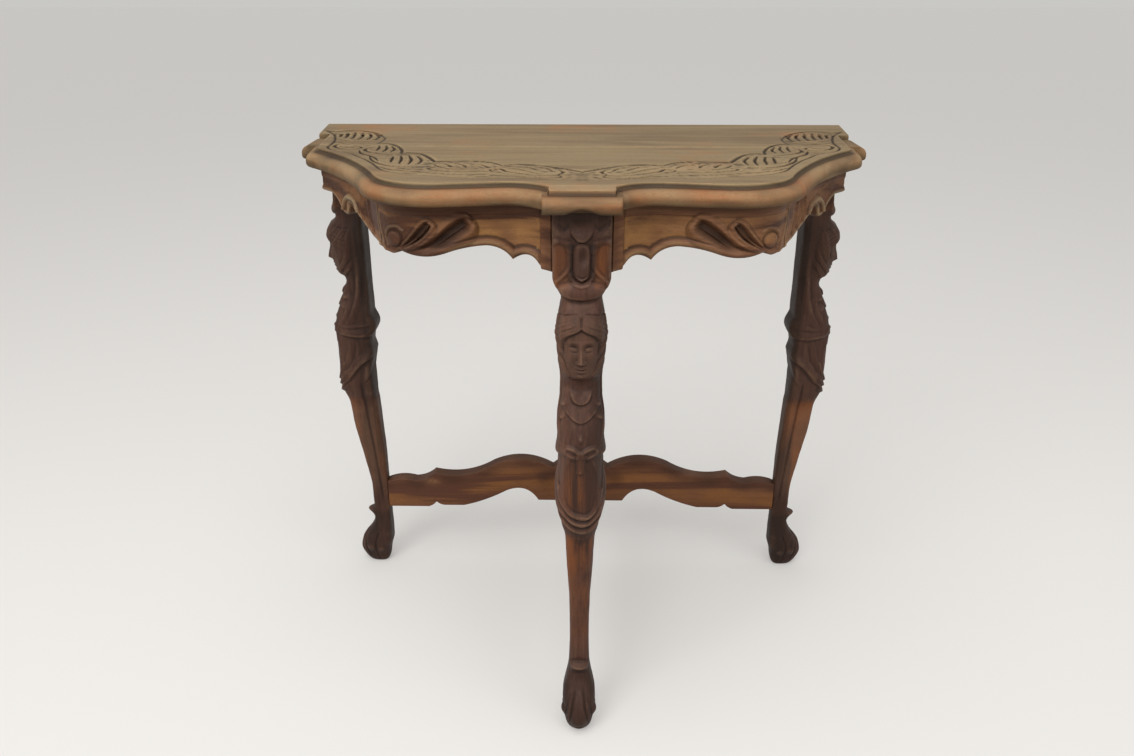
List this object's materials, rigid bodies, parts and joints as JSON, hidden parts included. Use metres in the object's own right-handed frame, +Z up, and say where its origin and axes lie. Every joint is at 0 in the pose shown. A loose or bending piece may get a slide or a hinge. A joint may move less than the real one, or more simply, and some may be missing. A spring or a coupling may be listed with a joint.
{
  "type": "accent table",
  "caption": "Serpentine carved wooden accent table with a moulded top, scalloped aprons, draped figure legs on claw-like feet and a sawn stretcher; stands against a wall.",
  "frame": {"origin": "on the floor, under the middle of the table's bounding box", "axes": "+X across the table to the viewer's right, +Y to the rear (wall side), +Z up; the front faces -Y"},
  "size_m": [0.799, 0.474, 0.76],
  "materials": {
    "top_wood": "worn dusty varnish",
    "apron_wood": "worn satin varnish",
    "leg_wood": "dark satin varnish",
    "stretcher_wood": "satin varnish",
    "plain_wood": "unfinished",
    "dowel_wood": "unfinished",
    "screw_steel": "dull"
  },
  "bodies": {
    "root": {"top_board_rear": "top_wood", "top_board_front": "top_wood", "apron_front_left": "apron_wood", "apron_front_right": "apron_wood", "apron_side_left": "apron_wood", "apron_side_right": "apron_wood", "back_rail": "plain_wood", "leg_front": "leg_wood", "leg_left": "leg_wood", "leg_right": "leg_wood", "stretcher_rear": "stretcher_wood", "stretcher_front": "stretcher_wood", "shoulder_block_left": "plain_wood", "shoulder_block_right": "plain_wood", "rear_block_left": "plain_wood", "rear_block_right": "plain_wood", "apron_front_dowels": "dowel_wood", "apron_side_dowels": "dowel_wood", "back_rail_dowels": "dowel_wood", "stretcher_rear_dowels": "dowel_wood", "stretcher_front_dowels": "dowel_wood", "top_dowels": "dowel_wood", "block_screws": "screw_steel", "rail_screws": "screw_steel"}
  },
  "joints": []
}
